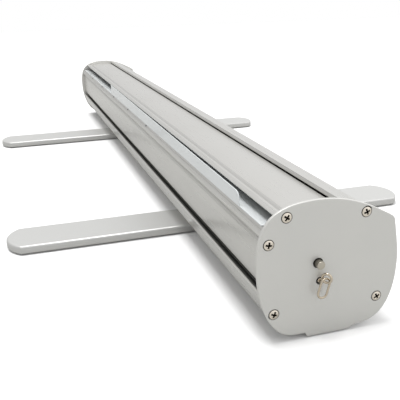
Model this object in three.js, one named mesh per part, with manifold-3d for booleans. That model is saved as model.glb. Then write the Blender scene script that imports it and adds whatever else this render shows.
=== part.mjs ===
// Roll-up banner stand, closed: an aluminium cassette with a spring roller, on two swing-out feet.
// Millimetres. +X runs along the cassette to the lock end, the slot looks to -Y and up, +Z is up,
// and the stand rests on Z = 0.
import * as THREE from 'three';
import { mergeVertices } from 'three/addons/utils/BufferGeometryUtils.js';
import Module from 'manifold-3d';

const wasm = await Module();
wasm.setup();

// ---- driving dimensions ---------------------------------------------------------------------

// cassette
const caseLength = 860; // over the outer faces of the end plates
const plateThick = 2.2;
const plateHalfWidth = 51.7;
const plateTop = 98.4;
const plateLow = 4; // lower edge of the plate, beside its pad
const platePad = 1; // underside of the pad in the middle of the lower edge
const edgeRound = 0.5; // eased edge of the plates
const rimProud = 1; // the plates stand this far outside the lips and flanges
const panelDrop = 4.9; // the recessed panels lie this far inside the plate edge
const bellyDrop = 6.4; // the rear and lower walls lie this far inside the plate edge
const caseFloor = 10; // underside of the cassette
const wall = 1.8;
const lipFlat = 3.5; // flat of each slot lip before its panel slopes away
const slopeEnd = 9; // the slope ends this far from the lip's edge
const grooveHeight = 4; // open groove between the front panel and its flange
const flangeLip = 1.5; // thickness of the front flange's edge
const tongue = 1.6; // hooked edge of a cover
const ribThick = 1.4;
const frontFlangeTop = 37.5;
const topFlangeStart = 7.4;
const topGrooveWidth = 2.2;
const topFlangeLip = 3.2;
const seat = 0.1; // gap between faces that are bolted or pressed together
const fitGap = 0.3; // gap beside a curved face

// screws of the end plates
const screwHeadRadius = 3.3;
const screwDome = 0.9;
const screwShank = 1.25;
const screwLength = 13;
const crossLong = 3.4; // cross recess in the head
const crossWide = 0.75;
const crossDepth = 0.8;
const portRadius = 3.2;
const portBore = 1.4;

// roller
const axisY = -8.4;
const axisZ = 54.5;
const tubeRadius = 19;
const tubeWall = 1.6;
const endPlay = 1.5; // from a plug's flange to its end plate
const plugFlange = 2;
const plugLength = 24;
const stubRadius = 2.9;
const stubReach = 4.7; // how far the axle stands out of its plate
const shaftRadius = 3;
const shaftLength = 300;
const bushWall = 2.2;
const springRadius = 7.2;
const springWire = 1;
const springTurns = 9;

// leader film
const filmThick = 0.5;
const wrapThick = 2.4;
const filmOpenEnd = 7; // the slot is empty for this length beside the spring end plate
const filmEndGap = 4;
const tabStart = 305; // from the spring end plate
const tabEnd = 815;
const tabHeightFar = 12.4;
const tabHeightNear = 10;
const tabCorner = 7;

// glide strip in the slot
const glideWidth = 2.2;
const glideThick = 1.2;
const rivetRadius = 1;
const rivetHeight = 0.5;
const rivetFirst = 330; // from the lock end plate
const rivetPitch = 103;
const rivetCount = 5;

// lock pin and pull ring
const pinDrop = 13.1; // below the roller axis
const pinOffset = 1.9; // to the rear of the roller axis
const pinRadius = 1.5;
const pinInside = 15;
const pinHole = 2.7;
const eyeRadius = 3.1;
const eyeWire = 0.85;
const eyeOut = 5; // eye centre from the plate
const eyeRise = 3.6;
const eyeRear = 2.2; // eye centre to the rear of the pin
const ringWire = 0.75;
const ringRadius = 3.2;
const ringStraight = 7.4;
const ringLean = 15; // degrees
const ringRest = 1.2; // clear height of the leaning ring's top over the eye's lower inside
const ringInward = 0.3; // the ring hangs this far inside the eye's centre
const ringAside = 0.2; // and this far to its rear

// feet
const footHalfLength = 205;
const footHalfWidth = 24;
const footThick = 8;
const footEndRadius = 30;
const footEdge = 2;
const padThick = 0.8;
const padRadius = 13;
const padInset = 26; // pad centre from the foot's tip
const pivotLock = 230; // pivot centres, from the outer face of each end plate
const pivotSpring = 212;
const boltRadius = 4;
const boltHeadRadius = 8;
const boltHeadHeight = 3;
const counterboreRadius = 9;
const turnGap = 0.15; // running clearance round a pivot bolt
const washerRadius = 12;
const nutFlats = 13;
const nutHeight = 5;

// pole socket on the rear wall
const poleRadius = 8.2;
const socketWall = 2.4;
const socketTop = 46;
const socketLow = 16;
const socketFloor = 3;
const earWidth = 14;
const earThick = 4;
const socketScrewRadius = 1.5;
const socketScrewHead = 3.4;

// ---- places that follow from them -----------------------------------------------------------

const half = caseLength / 2;
const inside = half - plateThick;
const footTop = padThick + footThick;
const pinY = axisY + pinOffset;
const pinZ = axisZ - pinDrop;
const eyeReach = eyeOut + eyeRadius * Math.SQRT1_2 + eyeWire;
const shiftX = -(Math.max(eyeReach, stubReach) - stubReach) / 2;
const screwPlaces = {
  slot_rear: [20.1 - plateHalfWidth, plateTop - 9.5],
  slot_front: [8.1 - plateHalfWidth, plateTop - 26.4],
  low_front: [12.7 - plateHalfWidth, 22.3],
  high_rear: [plateHalfWidth - 26.4, plateTop - 12.7],
  low_rear: [plateHalfWidth - 14.4, 22.6],
};

// ---- materials ------------------------------------------------------------------------------

function finish(color, roughness, metalness) {
  return () => new THREE.MeshStandardMaterial({ color, roughness, metalness });
}

const anodised = finish(0xd4d3cf, 0.38, 0.85);
const plateSilver = finish(0xc5c4c0, 0.45, 0.6);
const footSilver = finish(0xdededc, 0.4, 0.6);
const nickel = finish(0xd9cfc0, 0.2, 1);
const darkSteel = finish(0x55565a, 0.4, 0.9);
const mill = finish(0xb5b7b8, 0.5, 0.8);
const film = finish(0xe6ecee, 0.2, 0);
const moulded = finish(0x2c2d2f, 0.6, 0);
const paleMoulded = finish(0xd9d8d2, 0.5, 0);
const rubber = finish(0x18181a, 0.9, 0);

// ---- solids ---------------------------------------------------------------------------------

function toSolid(geometry) {
  const bare = geometry.clone();
  bare.deleteAttribute('normal');
  bare.deleteAttribute('uv');
  const merged = mergeVertices(bare, 1e-4);
  const mesh = new wasm.Mesh({
    numProp: 3,
    vertProperties: Float32Array.from(merged.attributes.position.array),
    triVerts: Uint32Array.from(merged.index.array),
  });
  return new wasm.Manifold(mesh);
}

function toGeometry(solid) {
  const mesh = solid.getMesh();
  const geometry = new THREE.BufferGeometry();
  geometry.setAttribute('position', new THREE.BufferAttribute(mesh.vertProperties, 3));
  geometry.setIndex(new THREE.BufferAttribute(mesh.triVerts, 1));
  return geometry;
}

function cut(geometry, tools) {
  let solid = toSolid(geometry);
  for (const tool of tools) solid = solid.subtract(toSolid(tool));
  return toGeometry(solid);
}

function join(geometry, others) {
  let solid = toSolid(geometry);
  for (const other of others) solid = solid.add(toSolid(other));
  return toGeometry(solid);
}

// Turns geometry drawn in (y, z) and raised along its third axis so that it runs along X.
const alongX = new THREE.Matrix4().makeBasis(
  new THREE.Vector3(0, 1, 0),
  new THREE.Vector3(0, 0, 1),
  new THREE.Vector3(1, 0, 0),
);

function extrusion(points, from, to) {
  const geometry = new THREE.ExtrudeGeometry(new THREE.Shape(points), {
    depth: to - from,
    bevelEnabled: false,
  });
  return geometry.applyMatrix4(alongX).translate(from, 0, 0);
}

function turned(profile, sides) {
  return new THREE.LatheGeometry(profile.map(([r, h]) => new THREE.Vector2(r, h)), sides);
}

// A turned piece whose axis runs along X through (y, z); profile points are (radius, x).
function turnedX(profile, y, z, sides = 24) {
  return turned(profile, sides).rotateZ(-Math.PI / 2).translate(0, y, z);
}

// A turned piece whose axis runs along Z through (x, y); profile points are (radius, z).
function turnedZ(profile, x, y, sides = 24) {
  return turned(profile, sides).rotateX(Math.PI / 2).translate(x, y, 0);
}

function rodX(from, to, radius, y, z, sides = 12) {
  return turnedX([[0, from], [radius, from], [radius, to], [0, to]], y, z, sides);
}

function rodZ(from, to, radius, x, y, sides = 16) {
  return turnedZ([[0, from], [radius, from], [radius, to], [0, to]], x, y, sides);
}

function tubeX(from, to, outer, inner, y, z, sides = 32) {
  const profile = [[inner, from], [outer, from], [outer, to], [inner, to], [inner, from]];
  return turnedX(profile, y, z, sides);
}

// A closed loop of round wire through the given points, which lie in a plane with this normal.
function wireLoop(points, normal, radius, sides) {
  const centre = points.reduce((sum, p) => sum.clone().add(p), new THREE.Vector3());
  centre.divideScalar(points.length);
  const vertices = [];
  const faces = [];
  const n = points.length;
  for (let i = 0; i < n; i += 1) {
    const tangent = points[(i + 1) % n].clone().sub(points[(i + n - 1) % n]).normalize();
    const outward = new THREE.Vector3().crossVectors(tangent, normal);
    if (outward.dot(points[i].clone().sub(centre)) < 0) outward.negate();
    for (let j = 0; j < sides; j += 1) {
      const turn = (2 * Math.PI * j) / sides;
      const v = points[i].clone();
      v.addScaledVector(outward, radius * Math.cos(turn));
      v.addScaledVector(normal, radius * Math.sin(turn));
      vertices.push(...v.toArray());
      const [a, b] = [i * sides + j, i * sides + ((j + 1) % sides)];
      const [c, d] = [((i + 1) % n) * sides + j, ((i + 1) % n) * sides + ((j + 1) % sides)];
      faces.push(a, c, b, b, c, d);
    }
  }
  const geometry = new THREE.BufferGeometry();
  geometry.setAttribute('position', new THREE.Float32BufferAttribute(vertices, 3));
  geometry.setIndex(faces);
  return toSolid(geometry).volume() < 0 ? geometry.setIndex(faces.reverse()) : geometry;
}

// ---- plate outline and the skins that follow it ---------------------------------------------

// The end plate's edge, clockwise from the front end of its pad: a full front, a crown, a rear
// slope that ends in a tight shoulder, and a round rear heel.
function plateOutline() {
  const w = plateHalfWidth;
  const top = plateTop;
  const path = new THREE.Path();
  path.moveTo(-14, platePad);
  path.lineTo(-16, plateLow);
  path.lineTo(-23.4, plateLow);
  path.bezierCurveTo(-41.4, plateLow, -w, 30, -w, 60);
  path.bezierCurveTo(-w, top - 12.4, 8.7 - w, top, -9, top);
  path.bezierCurveTo(11, top, 27.5, top - 7.4, w - 7.2, top - 17.2);
  path.quadraticCurveTo(w - 4.9, top - 18.5, w - 4.1, top - 20.8);
  path.bezierCurveTo(w - 2.3, 67, w, 57, w, 47.3);
  path.bezierCurveTo(w, 21, w - 8.7, plateLow, 24, plateLow);
  path.lineTo(20.2, plateLow - 0.9);
  path.quadraticCurveTo(18, platePad, 14.5, platePad);
  path.closePath();
  return path;
}

const rim = plateOutline();
const rimLength = rim.getLength();
const rimSamples = 1500;

function rimPlace([y, z]) {
  let best = 0;
  let least = Infinity;
  for (let i = 0; i <= rimSamples; i += 1) {
    const p = rim.getPointAt(i / rimSamples);
    const distance = Math.hypot(p.x - y, p.y - z);
    if (distance < least) [best, least] = [i / rimSamples, distance];
  }
  return best;
}

// The point this far inside the plate edge.
function insidePoint(place, inset) {
  const p = rim.getPointAt(place);
  const t = rim.getTangentAt(place);
  return new THREE.Vector2(p.x + t.y * inset, p.y - t.x * inset);
}

// Points that follow the plate edge from one place to another. The inset is a number, or a
// function of the distance travelled.
function skin(from, to, inset, steps) {
  return Array.from({ length: steps + 1 }, (_, i) => {
    const place = from + ((to - from) * i) / steps;
    const travel = Math.abs(place - from) * rimLength;
    return insidePoint(place, typeof inset === 'function' ? inset(travel) : inset);
  });
}

function slope(travel) {
  const k = THREE.MathUtils.smoothstep(travel, lipFlat, slopeEnd);
  return rimProud + (panelDrop - rimProud) * k;
}

const tongueOuter = panelDrop + wall + fitGap;
const tongueInner = tongueOuter + tongue;
const ribOuter = tongueInner + fitGap;
const ribInner = ribOuter + ribThick;

const frontLip = rimPlace([2.9 - plateHalfWidth, plateTop - 16.6]);
const rearLip = rimPlace([11.1 - plateHalfWidth, plateTop - 6.8]);

// ---- cassette -------------------------------------------------------------------------------

// A screw port on the inner side of a cover, clipped so that it stays under the panel.
function coverPort([y, z], from, to) {
  const port = toSolid(rodX(from, to, portRadius, y, z, 16));
  const core = toSolid(extrusion(skin(0, 1, panelDrop + seat, 90).slice(0, -1), from, to));
  return toGeometry(port.intersect(core));
}

function bore([y, z]) {
  return rodX(-half, half, portBore, y, z, 12);
}

// A cover: slot lip, slope, recessed panel, then a tongue that hooks behind its flange. The
// edge is where the panel ends, and tip is the end of the tongue.
function cover(lip, edge, tip, port) {
  const stop = edge + (Math.sign(lip - edge) * wall) / rimLength;
  const outline = [
    ...skin(lip, edge, slope, 20),
    ...skin(edge, tip, tongueOuter, 3),
    ...skin(tip, stop, tongueInner, 3),
    ...skin(lip, stop, (travel) => slope(travel) + wall, 20).reverse(),
  ];
  const [from, to] = [-inside + seat, inside - seat];
  const shell = join(extrusion(outline, from, to), [coverPort(port, from, to)]);
  return cut(shell, [bore(port)]);
}

function frontCover() {
  const edge = rimPlace([-plateHalfWidth, frontFlangeTop + grooveHeight]);
  const tip = rimPlace([-plateHalfWidth, frontFlangeTop - 4.5]);
  return cover(frontLip, edge, tip, screwPlaces.slot_front);
}

function topCover() {
  const edge = rimPlace([topFlangeStart - topGrooveWidth, plateTop]);
  const tip = rimPlace([topFlangeStart + 5.3, plateTop]);
  return cover(rearLip, edge, tip, screwPlaces.slot_rear);
}

// The main extrusion: top flange, rear wall, floor and front flange, with a rib behind each
// flange that holds a cover's tongue.
function baseChannel() {
  const w = plateHalfWidth;
  const flangeInner = rimProud + flangeLip;
  const topStart = rimPlace([topFlangeStart, plateTop]);
  const topGroove = rimPlace([topFlangeStart + 9, plateTop]);
  const topEnd = rimPlace([w - 27.7, plateTop - 6]);
  const rearStart = rimPlace([w - 19, plateTop - 10.5]);
  const rearEnd = rimPlace([w - 18, 7]);
  const bellyStart = rimPlace([17 - w, 7.5]);
  const bellyEnd = rimPlace([8.5 - w, 17]);
  const frontEnd = rimPlace([7.1 - w, 20]);
  const frontStart = rimPlace([-w, frontFlangeTop]);
  const frontGroove = rimPlace([-w, frontFlangeTop - 8]);
  const outline = [
    ...skin(topStart, topEnd, rimProud, 8),
    ...skin(rearStart, rearEnd, bellyDrop, 24),
    new THREE.Vector2(w - 26, caseFloor),
    new THREE.Vector2(25 - w, caseFloor),
    ...skin(bellyStart, bellyEnd, bellyDrop, 4),
    ...skin(frontEnd, frontStart, rimProud, 6),
    ...skin(frontStart, frontGroove, flangeInner, 3),
    ...skin(frontGroove, frontStart, ribOuter, 3),
    ...skin(frontStart, frontEnd, ribInner, 5),
    new THREE.Vector2(25.6 - w, caseFloor + wall),
    new THREE.Vector2(w - 26.6, caseFloor + wall),
    ...skin(rearEnd, rearStart, bellyDrop + wall, 24),
    ...skin(topEnd, topStart, ribInner, 6),
    ...skin(topStart, topGroove, ribOuter, 3),
    ...skin(topGroove, topStart, rimProud + topFlangeLip, 3),
  ];
  const [from, to] = [-inside + seat, inside - seat];
  const ports = ['low_front', 'high_rear', 'low_rear'].map((name) => screwPlaces[name]);
  const bosses = ports.map(([y, z]) => rodX(from, to, portRadius, y, z, 16));
  const boltHoles = pivots.map((x) => (
    rodZ(caseFloor - 1, caseFloor + wall + 1, boltRadius + fitGap, x, 0)
  ));
  const socketHoles = socketScrewX.map((x) => (
    rodY(rearFace - 12, rearFace + 8, socketScrewRadius + fitGap, x, socketScrewZ)
  ));
  const shell = join(extrusion(outline, from, to), bosses);
  return cut(shell, [...ports.map(bore), ...boltHoles, ...socketHoles]);
}

// An end plate with eased edges, five countersunk screw holes and the holes given.
function endPlate(outerFace, outward, holes) {
  const geometry = new THREE.ExtrudeGeometry(new THREE.Shape(rim.getSpacedPoints(96)), {
    depth: plateThick - 2 * edgeRound,
    bevelThickness: edgeRound,
    bevelSize: edgeRound,
    bevelOffset: -edgeRound,
    bevelSegments: 1,
  });
  const innerFace = outerFace - outward * plateThick;
  geometry.applyMatrix4(alongX).translate(Math.min(outerFace, innerFace) + edgeRound, 0, 0);
  const sink = [
    [0, outerFace + outward],
    [screwHeadRadius + 1.6, outerFace + outward],
    [screwHeadRadius + 0.5, outerFace],
    [screwShank + 0.7, outerFace - outward * 1.7],
    [screwShank + 0.7, innerFace - outward],
    [0, innerFace - outward],
  ];
  if (outward > 0) sink.reverse();
  const sinks = Object.values(screwPlaces).map(([y, z]) => turnedX(sink, y, z, 16));
  const bores = holes.map(([y, z, r]) => (
    rodX(-1 + Math.min(outerFace, innerFace), 1 + Math.max(outerFace, innerFace), r, y, z, 20)
  ));
  return cut(geometry, [...sinks, ...bores]);
}

// A raised countersunk screw with a cross recess.
function plateScrew(outerFace, outward, [y, z]) {
  const x = (depth) => outerFace + outward * depth;
  const profile = [
    [0, x(screwDome)],
    [screwHeadRadius * 0.55, x(screwDome * 0.8)],
    [screwHeadRadius, x(0.15)],
    [screwHeadRadius, x(0)],
    [screwShank, x(-1.9)],
    [screwShank, x(1 - screwLength)],
    [0, x(-screwLength)],
  ];
  if (outward > 0) profile.reverse();
  const cross = [[crossLong, crossWide], [crossWide, crossLong]].map(([across, upright]) => (
    new THREE.BoxGeometry(2 * crossDepth, across, upright).translate(x(screwDome), y, z)
  ));
  return cut(turnedX(profile, y, z, 12), cross);
}

// ---- roller ---------------------------------------------------------------------------------

const flangeFace = inside - endPlay;
const tubeEnd = flangeFace - plugFlange - seat;

function rollerTube() {
  const inner = tubeRadius - tubeWall;
  return tubeX(-tubeEnd, tubeEnd, tubeRadius, inner, axisY, axisZ, 40);
}

// The plug at the lock end, with a round groove that the lock pin reaches into.
function lockPlug() {
  const body = tubeRadius - tubeWall - seat;
  const bushHole = stubRadius + bushWall;
  const pinCircle = Math.hypot(pinOffset, pinDrop);
  const [grooveIn, grooveOut] = [pinCircle - pinRadius - 0.6, pinCircle + pinRadius + 0.6];
  const grooveEnd = flangeFace - pinInside;
  const profile = [
    [bushHole, flangeFace],
    [bushHole, flangeFace - plugLength],
    [body, flangeFace - plugLength],
    [body, flangeFace - plugFlange],
    [tubeRadius, flangeFace - plugFlange],
    [tubeRadius, flangeFace],
    [grooveOut, flangeFace],
    [grooveOut, grooveEnd],
    [grooveIn, grooveEnd],
    [grooveIn, flangeFace],
    [bushHole, flangeFace],
  ];
  return turnedX(profile, axisY, axisZ, 32);
}

// The plug at the spring end, with a collar that the spring's first turns sit on.
function springPlug() {
  const body = tubeRadius - tubeWall - seat;
  const bushHole = shaftRadius + bushWall;
  const collar = springRadius - springWire - fitGap;
  const profile = [
    [bushHole, -flangeFace],
    [tubeRadius, -flangeFace],
    [tubeRadius, plugFlange - flangeFace],
    [body, plugFlange - flangeFace],
    [body, plugLength - flangeFace],
    [collar, plugLength - flangeFace],
    [collar, plugLength + 10 - flangeFace],
    [bushHole, plugLength + 10 - flangeFace],
    [bushHole, -flangeFace],
  ];
  return turnedX(profile, axisY, axisZ, 32);
}

function bush(from, to, shaft) {
  return tubeX(from, to, shaft + bushWall - 0.05, shaft + 0.08, axisY, axisZ, 20);
}

// An axle or shaft fixed in an end plate: a stub outside, a collar inside the plate.
function axle(radius, length, outward) {
  const x = (depth) => outward * (half - depth);
  const profile = [
    [0, x(-stubReach)],
    [radius - 0.4, x(-stubReach)],
    [radius, x(0.4 - stubReach)],
    [radius, x(plateThick + seat)],
    [radius + 2.5, x(plateThick + seat)],
    [radius + 2.5, x(plateThick + 1.1)],
    [radius, x(plateThick + 1.1)],
    [radius, x(length)],
    [0, x(length)],
  ];
  if (outward > 0) profile.reverse();
  return turnedX(profile, axisY, axisZ, 20);
}

function springAnchor() {
  const collar = springRadius - springWire - fitGap;
  const bored = shaftRadius + 0.1;
  const end = shaftLength - half - 2;
  const profile = [
    [bored, end],
    [bored, end - 18],
    [collar, end - 18],
    [collar, end - 6],
    [springRadius + springWire + 1, end - 6],
    [springRadius + springWire + 1, end],
    [bored, end],
  ];
  return turnedX(profile, axisY, axisZ, 20);
}

// The line of the spring: it turns round the axle at a steady radius and pitch.
class Coil extends THREE.Curve {
  constructor(from, to) {
    super();
    this.ends = [from, to];
  }

  getPoint(k) {
    const [from, to] = this.ends;
    const turn = 2 * Math.PI * springTurns * k;
    const y = axisY + springRadius * Math.cos(turn);
    const z = axisZ + springRadius * Math.sin(turn);
    return new THREE.Vector3(from + (to - from) * k, y, z);
  }
}

function torsionSpring() {
  const section = new THREE.Shape(
    Array.from({ length: 6 }, (_, i) => new THREE.Vector2(
      springWire * Math.cos((i * Math.PI) / 3),
      springWire * Math.sin((i * Math.PI) / 3),
    )),
  );
  const from = plugLength - flangeFace + springWire + fitGap;
  const to = shaftLength - half - 2 - 6 - springWire - fitGap;
  return new THREE.ExtrudeGeometry(section, {
    steps: springTurns * 10,
    extrudePath: new Coil(from, to),
    bevelEnabled: false,
  });
}

// ---- leader film ----------------------------------------------------------------------------

const filmStart = filmOpenEnd - half;
const filmStop = inside - filmEndGap;
const wrapRadius = tubeRadius + seat + wrapThick;
const glideEnd = frontLip + (glideWidth + seat) / rimLength;
const bend = insidePoint(glideEnd + 0.5 / rimLength, rimProud);

function leaderWrap() {
  return tubeX(filmStart, filmStop, wrapRadius, tubeRadius + seat, axisY, axisZ, 40);
}

// The film from the top of the roller to the front lip of the slot.
function leaderSpan() {
  const reach = new THREE.Vector2(bend.x - axisY, bend.y - axisZ);
  const radius = wrapRadius + fitGap + filmThick / 2;
  const angle = reach.angle() - Math.acos(radius / reach.length());
  const start = new THREE.Vector2(axisY, axisZ);
  start.add(new THREE.Vector2(Math.cos(angle), Math.sin(angle)).multiplyScalar(radius));
  const across = new THREE.Vector2(Math.cos(angle), Math.sin(angle));
  across.multiplyScalar(filmThick / 2);
  const outline = [
    start.clone().sub(across),
    start.clone().add(across),
    bend.clone().add(across),
    bend.clone().sub(across),
  ];
  return extrusion(outline, filmStart, filmStop);
}

// The stiffened edge of the film, which stands out of the slot to be gripped.
function leaderTab() {
  const base = bend.y + filmThick / 2 + fitGap;
  const [x0, x1] = [tabStart - half, tabEnd - half];
  const shape = new THREE.Shape();
  shape.moveTo(x0, base);
  shape.lineTo(x1, base);
  shape.lineTo(x1, bend.y + tabHeightNear - tabCorner * 0.6);
  shape.quadraticCurveTo(x1, bend.y + tabHeightNear, x1 - tabCorner, bend.y + tabHeightNear);
  shape.lineTo(x0, bend.y + tabHeightFar);
  shape.closePath();
  const geometry = new THREE.ExtrudeGeometry(shape, {
    depth: filmThick,
    bevelEnabled: false,
    curveSegments: 5,
  });
  return geometry.rotateX(Math.PI / 2).translate(0, bend.x + filmThick / 2, 0);
}

function slotGlide() {
  const start = frontLip + seat / rimLength;
  const outline = [
    ...skin(start, glideEnd, rimProud + fitGap, 2),
    ...skin(glideEnd, start, rimProud + fitGap + glideThick, 2),
  ];
  return extrusion(outline, -inside + seat, inside - seat);
}

function glideRivet(x) {
  const place = frontLip + (glideWidth * 0.4) / rimLength;
  const seatPoint = insidePoint(place, rimProud + fitGap - seat);
  const tangent = rim.getTangentAt(place);
  const profile = [[0, 0], [rivetRadius, 0], [rivetRadius * 0.7, rivetHeight], [0, rivetHeight]];
  const rivet = turned(profile, 10);
  rivet.rotateX(Math.PI / 2).rotateX(Math.atan2(tangent.y, tangent.x));
  return rivet.translate(x, seatPoint.x, seatPoint.y);
}

// ---- lock pin and ring ----------------------------------------------------------------------

const eyeCentre = new THREE.Vector3(
  half + eyeOut,
  pinY + eyeRear,
  pinZ + eyeRise,
);

// A straight pin whose outer end turns up into a closed eye.
function lockPin() {
  const eyeSide = new THREE.Vector3(1, 1, 0).normalize();
  const foot = eyeCentre.clone().addScaledVector(eyeSide, -eyeRadius);
  const bendPath = new THREE.CatmullRomCurve3([
    new THREE.Vector3(half - 0.4, pinY, pinZ),
    new THREE.Vector3(half + 1, pinY, pinZ + 0.15),
    new THREE.Vector3(foot.x - 0.5, (pinY + foot.y) / 2, pinZ + 1.2),
    new THREE.Vector3(foot.x, foot.y, foot.z - 0.6),
  ]);
  const neckSection = new THREE.Shape().absarc(0, 0, eyeWire, 0, 2 * Math.PI);
  const neck = new THREE.ExtrudeGeometry(neckSection, {
    steps: 8,
    curveSegments: 5,
    extrudePath: bendPath,
    bevelEnabled: false,
  });
  const pin = rodX(inside - pinInside, half, pinRadius, pinY, pinZ, 14);
  const eye = new THREE.TorusGeometry(eyeRadius, eyeWire, 10, 24);
  eye.applyMatrix4(new THREE.Matrix4().makeBasis(
    eyeSide,
    new THREE.Vector3(0, 0, 1),
    new THREE.Vector3(1, -1, 0).normalize(),
  ));
  eye.translate(...eyeCentre.toArray());
  return join(pin, [neck, eye]);
}

// The oval ring that hangs in the eye; its top wire lies on the eye's lower inside.
function pullRing() {
  const topWire = eyeCentre.z - eyeRadius + eyeWire + ringWire + ringRest;
  const corners = 9;
  const points = [];
  for (const [side, centre] of [[0, 0], [Math.PI, -ringStraight]]) {
    for (let i = 0; i <= corners; i += 1) {
      const turn = side + (Math.PI * i) / corners;
      const [y, z] = [ringRadius * Math.cos(turn), centre + ringRadius * Math.sin(turn)];
      points.push(new THREE.Vector3(0, y, z));
    }
  }
  const loop = wireLoop(points, new THREE.Vector3(1, 0, 0), ringWire, 8);
  loop.translate(0, 0, -ringRadius).rotateX(-THREE.MathUtils.degToRad(ringLean));
  return loop.translate(eyeCentre.x - ringInward, eyeCentre.y + ringAside, topWire);
}

// ---- feet -----------------------------------------------------------------------------------

const pivots = [half - pivotLock, pivotSpring - half];

function foot(x) {
  const [w, a, r] = [footHalfWidth, footHalfLength, footEndRadius];
  const lean = Math.asin(w / r);
  const shape = new THREE.Shape();
  shape.absarc(0, a - r, r, Math.PI / 2 - lean, Math.PI / 2 + lean);
  shape.absarc(0, r - a, r, 1.5 * Math.PI - lean, 1.5 * Math.PI + lean);
  shape.closePath();
  const geometry = new THREE.ExtrudeGeometry(shape, {
    depth: footThick - 2 * footEdge,
    bevelThickness: footEdge,
    bevelSize: footEdge,
    bevelOffset: -footEdge,
    bevelSegments: 2,
    curveSegments: 8,
  });
  geometry.translate(x, 0, padThick + footEdge);
  const sinkDepth = boltSeat + fitGap;
  return cut(geometry, [
    rodZ(-1, sinkDepth, counterboreRadius, x, 0, 24),
    rodZ(-1, footTop + 1, boltRadius + turnGap, x, 0, 24),
  ]);
}

function footPad(x, y) {
  return rodZ(0, padThick - seat, padRadius, x, y, 24);
}

const boltSeat = padThick + 1 + boltHeadHeight;
const washerTop = caseFloor - seat;
const nutBase = caseFloor + wall + seat;

function pivotBolt(x) {
  const low = boltSeat - boltHeadHeight;
  const profile = [
    [0, low],
    [boltHeadRadius, low],
    [boltHeadRadius, boltSeat],
    [boltRadius, boltSeat],
    [boltRadius, nutBase + nutHeight + 1],
    [0, nutBase + nutHeight + 1],
  ];
  return turnedZ(profile, x, 0, 24);
}

function ringZ(x, from, to, outer, inner, sides) {
  const profile = [[inner, from], [outer, from], [outer, to], [inner, to], [inner, from]];
  return turnedZ(profile, x, 0, sides);
}

function pivotWasher(x) {
  return ringZ(x, footTop + seat, washerTop, washerRadius, boltRadius + turnGap, 24);
}

function pivotNut(x) {
  const hexagon = rodZ(nutBase, nutBase + nutHeight, nutFlats / Math.sqrt(3), x, 0, 6);
  return cut(hexagon, [rodZ(nutBase - 1, nutBase + nutHeight + 1, boltRadius + turnGap, x, 0, 24)]);
}

// ---- pole socket ----------------------------------------------------------------------------

const socketPlace = rimPlace([plateHalfWidth, socketTop]);
const socketFoot = rimPlace([plateHalfWidth - 4, socketLow]);
const rearFace = insidePoint(socketPlace, bellyDrop - seat).x;
const poleY = rearFace + socketWall + poleRadius + seat;
const socketBack = poleY + poleRadius + socketWall;
const socketHalf = poleRadius + socketWall;
const socketScrewX = [-1, 1].map((side) => side * (socketHalf + earWidth / 2));
const socketScrewZ = (socketTop + socketLow) / 2;
const earPlace = rimPlace([plateHalfWidth, socketScrewZ]);
const earFace = insidePoint(earPlace, bellyDrop - fitGap - earThick).x - 0.8; // spot face

function rodY(from, to, radius, x, z, sides = 12) {
  const profile = [[0, from], [radius, from], [radius, to], [0, to]];
  return turned(profile, sides).translate(x, 0, z);
}

// A block with a blind bore for the pole, and a screwed ear on each side.
function poleSocket() {
  const seatSkin = skin(socketPlace, socketFoot, bellyDrop - fitGap, 6);
  const low = seatSkin[6].y;
  const block = extrusion(
    [...seatSkin, new THREE.Vector2(socketBack, low), new THREE.Vector2(socketBack, seatSkin[0].y)],
    -socketHalf,
    socketHalf,
  );
  const ears = extrusion(
    [...seatSkin, ...skin(socketFoot, socketPlace, bellyDrop - fitGap - earThick, 6)],
    -socketHalf - earWidth,
    socketHalf + earWidth,
  );
  const floor = seatSkin[6].y + socketFloor;
  return cut(join(block, [ears]), [
    rodZ(floor, socketTop + 2, poleRadius, 0, poleY, 24),
    ...socketScrewX.map((x) => rodY(0, socketBack, socketScrewRadius + fitGap, x, socketScrewZ)),
    ...socketScrewX.map((x) => rodY(earFace, socketBack, socketScrewHead + 0.6, x, socketScrewZ)),
  ]);
}

function socketScrew(x) {
  const head = earFace + seat;
  const profile = [
    [0, head - 12],
    [socketScrewRadius, head - 12],
    [socketScrewRadius, head],
    [socketScrewHead, head],
    [socketScrewHead * 0.8, head + 1.8],
    [0, head + 2],
  ];
  return turned(profile, 12).translate(x, 0, socketScrewZ);
}

// ---- assembly -------------------------------------------------------------------------------

const group = new THREE.Group();
group.position.x = shiftX;

function place(name, geometry, material) {
  const mesh = new THREE.Mesh(geometry, material());
  mesh.name = name;
  group.add(mesh);
}

place('base_channel', baseChannel(), anodised);
place('front_cover', frontCover(), anodised);
place('top_cover', topCover(), anodised);
place('end_plate_lock', endPlate(half, 1, [
  [axisY, axisZ, stubRadius + 0.6],
  [pinY, pinZ, pinHole],
]), plateSilver);
place('end_plate_spring', endPlate(-half, -1, [[axisY, axisZ, shaftRadius + 0.3]]), plateSilver);
for (const [name, spot] of Object.entries(screwPlaces)) {
  place(`screw_lock_${name}`, plateScrew(half, 1, spot), nickel);
  place(`screw_spring_${name}`, plateScrew(-half, -1, spot), nickel);
}

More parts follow.
